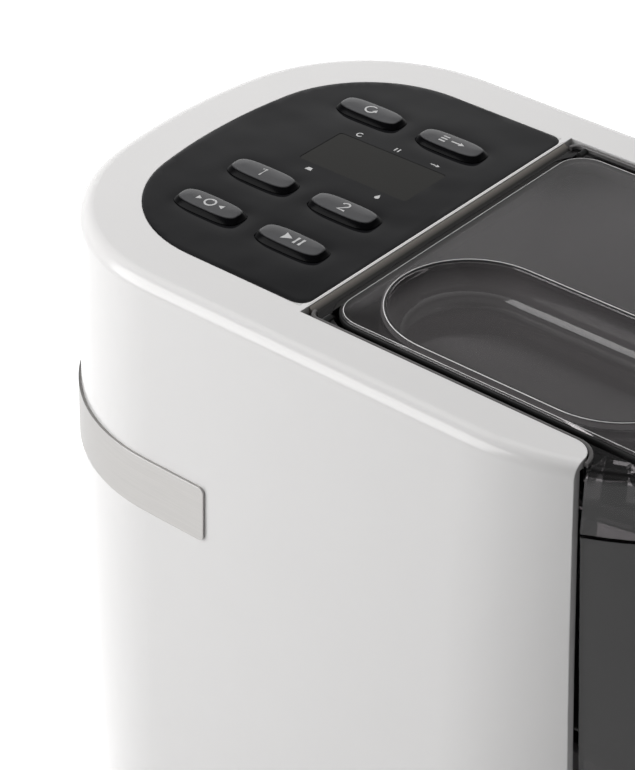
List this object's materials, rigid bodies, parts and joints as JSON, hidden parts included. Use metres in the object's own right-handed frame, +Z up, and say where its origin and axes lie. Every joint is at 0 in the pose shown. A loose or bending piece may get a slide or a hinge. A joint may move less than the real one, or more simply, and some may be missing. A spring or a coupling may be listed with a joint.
{
  "type": "electric pasta maker",
  "caption": "Upright electric pasta machine with rounded rear, sloped white walls, smoked lid and nose, button panel, and a geared kneading and extruding drive.",
  "frame": {"origin": "on the table, under the middle of the machine's box", "axes": "+X towards the end where the pasta comes out, +Y towards the side away from the picture's viewer, +Z up"},
  "size_m": [0.3324, 0.2064, 0.3026],
  "materials": {
    "white_gloss": "glossy moulded",
    "base_plastic": "fine grain",
    "foot_rubber": "matte",
    "band_steel": "brushed lengthwise",
    "panel_black": "piano black",
    "button_black": "piano black",
    "display_glass": "dark tint",
    "display_grey": "matte",
    "board_green": "solder mask",
    "switch_black": "matte",
    "tray_plastic": "matte",
    "frame_steel": "galvanised",
    "cradle_plastic": "matte",
    "smoked_plastic": "clear smoked",
    "seal_rubber": "matte",
    "gear_plastic": "machined look",
    "box_plastic": "matte",
    "bush_brass": "sintered",
    "motor_steel": "zinc plated",
    "shaft_steel": "ground",
    "fan_plastic": "matte",
    "food_plastic": "smooth",
    "barrel_plastic": "smooth",
    "die_plastic": "smooth",
    "nut_plastic": "glossy moulded",
    "inlet_plastic": "matte",
    "cell_aluminium": "milled",
    "screw_steel": "zinc plated"
  },
  "bodies": {
    "base": {"casing": "white_gloss", "base_plate": "base_plastic", "rubber_feet": "foot_rubber", "steel_band": "band_steel", "control_panel": "panel_black", "display_window": "display_glass", "display_module": "display_grey", "control_board": "board_green", "button_switches": "switch_black", "board_tray": "tray_plastic", "inner_frame": "frame_steel", "chamber_cradle": "cradle_plastic", "chamber": "smoked_plastic", "gearbox_housing": "box_plastic", "gearbox_cover": "box_plastic", "shaft_bushes": "bush_brass", "motor_body": "motor_steel", "shaft_seal": "seal_rubber", "extrusion_barrel": "barrel_plastic", "die_disc": "die_plastic", "power_board": "board_green", "power_inlet": "inlet_plastic", "load_cells": "cell_aluminium", "lid_switch": "switch_black", "base_screws": "screw_steel"},
    "lid": {"lid": "smoked_plastic", "lid_seal": "seal_rubber"},
    "front_cover": {"front_cover": "smoked_plastic"},
    "ring_nut": {"ring_nut": "nut_plastic"},
    "mixer": {"output_gear": "gear_plastic", "drive_shaft": "shaft_steel", "kneading_paddle": "food_plastic", "auger_screw": "food_plastic"},
    "layshaft": {"compound_gear": "gear_plastic"},
    "motor": {"motor_pinion": "screw_steel", "motor_shaft": "shaft_steel", "cooling_fan": "fan_plastic"},
    "tare_button": {"tare_button": "button_black"},
    "start_button": {"start_button": "button_black"},
    "programme_a_button": {"programme_a_button": "button_black"},
    "programme_b_button": {"programme_b_button": "button_black"},
    "knead_button": {"knead_button": "button_black"},
    "extrude_button": {"extrude_button": "button_black"}
  },
  "joints": [
    {"name": "lid_hinge", "type": "hinge", "parent": "base", "child": "lid", "pos_m": [-0.026, 0, 0.2979], "axis": [0, -1, 0], "range_deg": [0, 80]},
    {"name": "front_cover_slide", "type": "slide", "parent": "base", "child": "front_cover", "axis": [1, 0, 0], "range_m": [0, 0.06]},
    {"name": "ring_nut_turn", "type": "hinge", "parent": "base", "child": "ring_nut", "pos_m": [0.15, 0, 0.165], "axis": [1, 0, 0], "range_deg": [0, 90]},
    {"name": "mixer_spin", "type": "hinge", "parent": "base", "child": "mixer", "pos_m": [0.02, 0, 0.165], "axis": [1, 0, 0], "continuous": true},
    {"name": "layshaft_spin", "type": "hinge", "parent": "base", "child": "layshaft", "pos_m": [-0.057, 0, 0.114], "axis": [1, 0, 0], "continuous": true},
    {"name": "motor_spin", "type": "hinge", "parent": "base", "child": "motor", "pos_m": [-0.11, 0, 0.0735], "axis": [1, 0, 0], "continuous": true},
    {"name": "tare_press", "type": "slide", "parent": "base", "child": "tare_button", "axis": [0, 0, -1], "range_m": [0, 0.0006], "stiffness_N_per_m": 1500, "springref_m": -0.0003},
    {"name": "start_press", "type": "slide", "parent": "base", "child": "start_button", "axis": [0, 0, -1], "range_m": [0, 0.0006], "stiffness_N_per_m": 1500, "springref_m": -0.0003},
    {"name": "programme_a_press", "type": "slide", "parent": "base", "child": "programme_a_button", "axis": [0, 0, -1], "range_m": [0, 0.0006], "stiffness_N_per_m": 1500, "springref_m": -0.0003},
    {"name": "programme_b_press", "type": "slide", "parent": "base", "child": "programme_b_button", "axis": [0, 0, -1], "range_m": [0, 0.0006], "stiffness_N_per_m": 1500, "springref_m": -0.0003},
    {"name": "knead_press", "type": "slide", "parent": "base", "child": "knead_button", "axis": [0, 0, -1], "range_m": [0, 0.0006], "stiffness_N_per_m": 1500, "springref_m": -0.0003},
    {"name": "extrude_press", "type": "slide", "parent": "base", "child": "extrude_button", "axis": [0, 0, -1], "range_m": [0, 0.0006], "stiffness_N_per_m": 1500, "springref_m": -0.0003}
  ],
  "couplings": [
    {"joint": "layshaft_spin", "follows": "mixer_spin", "ratio": -3.8571},
    {"joint": "motor_spin", "follows": "mixer_spin", "ratio": 13.5}
  ]
}
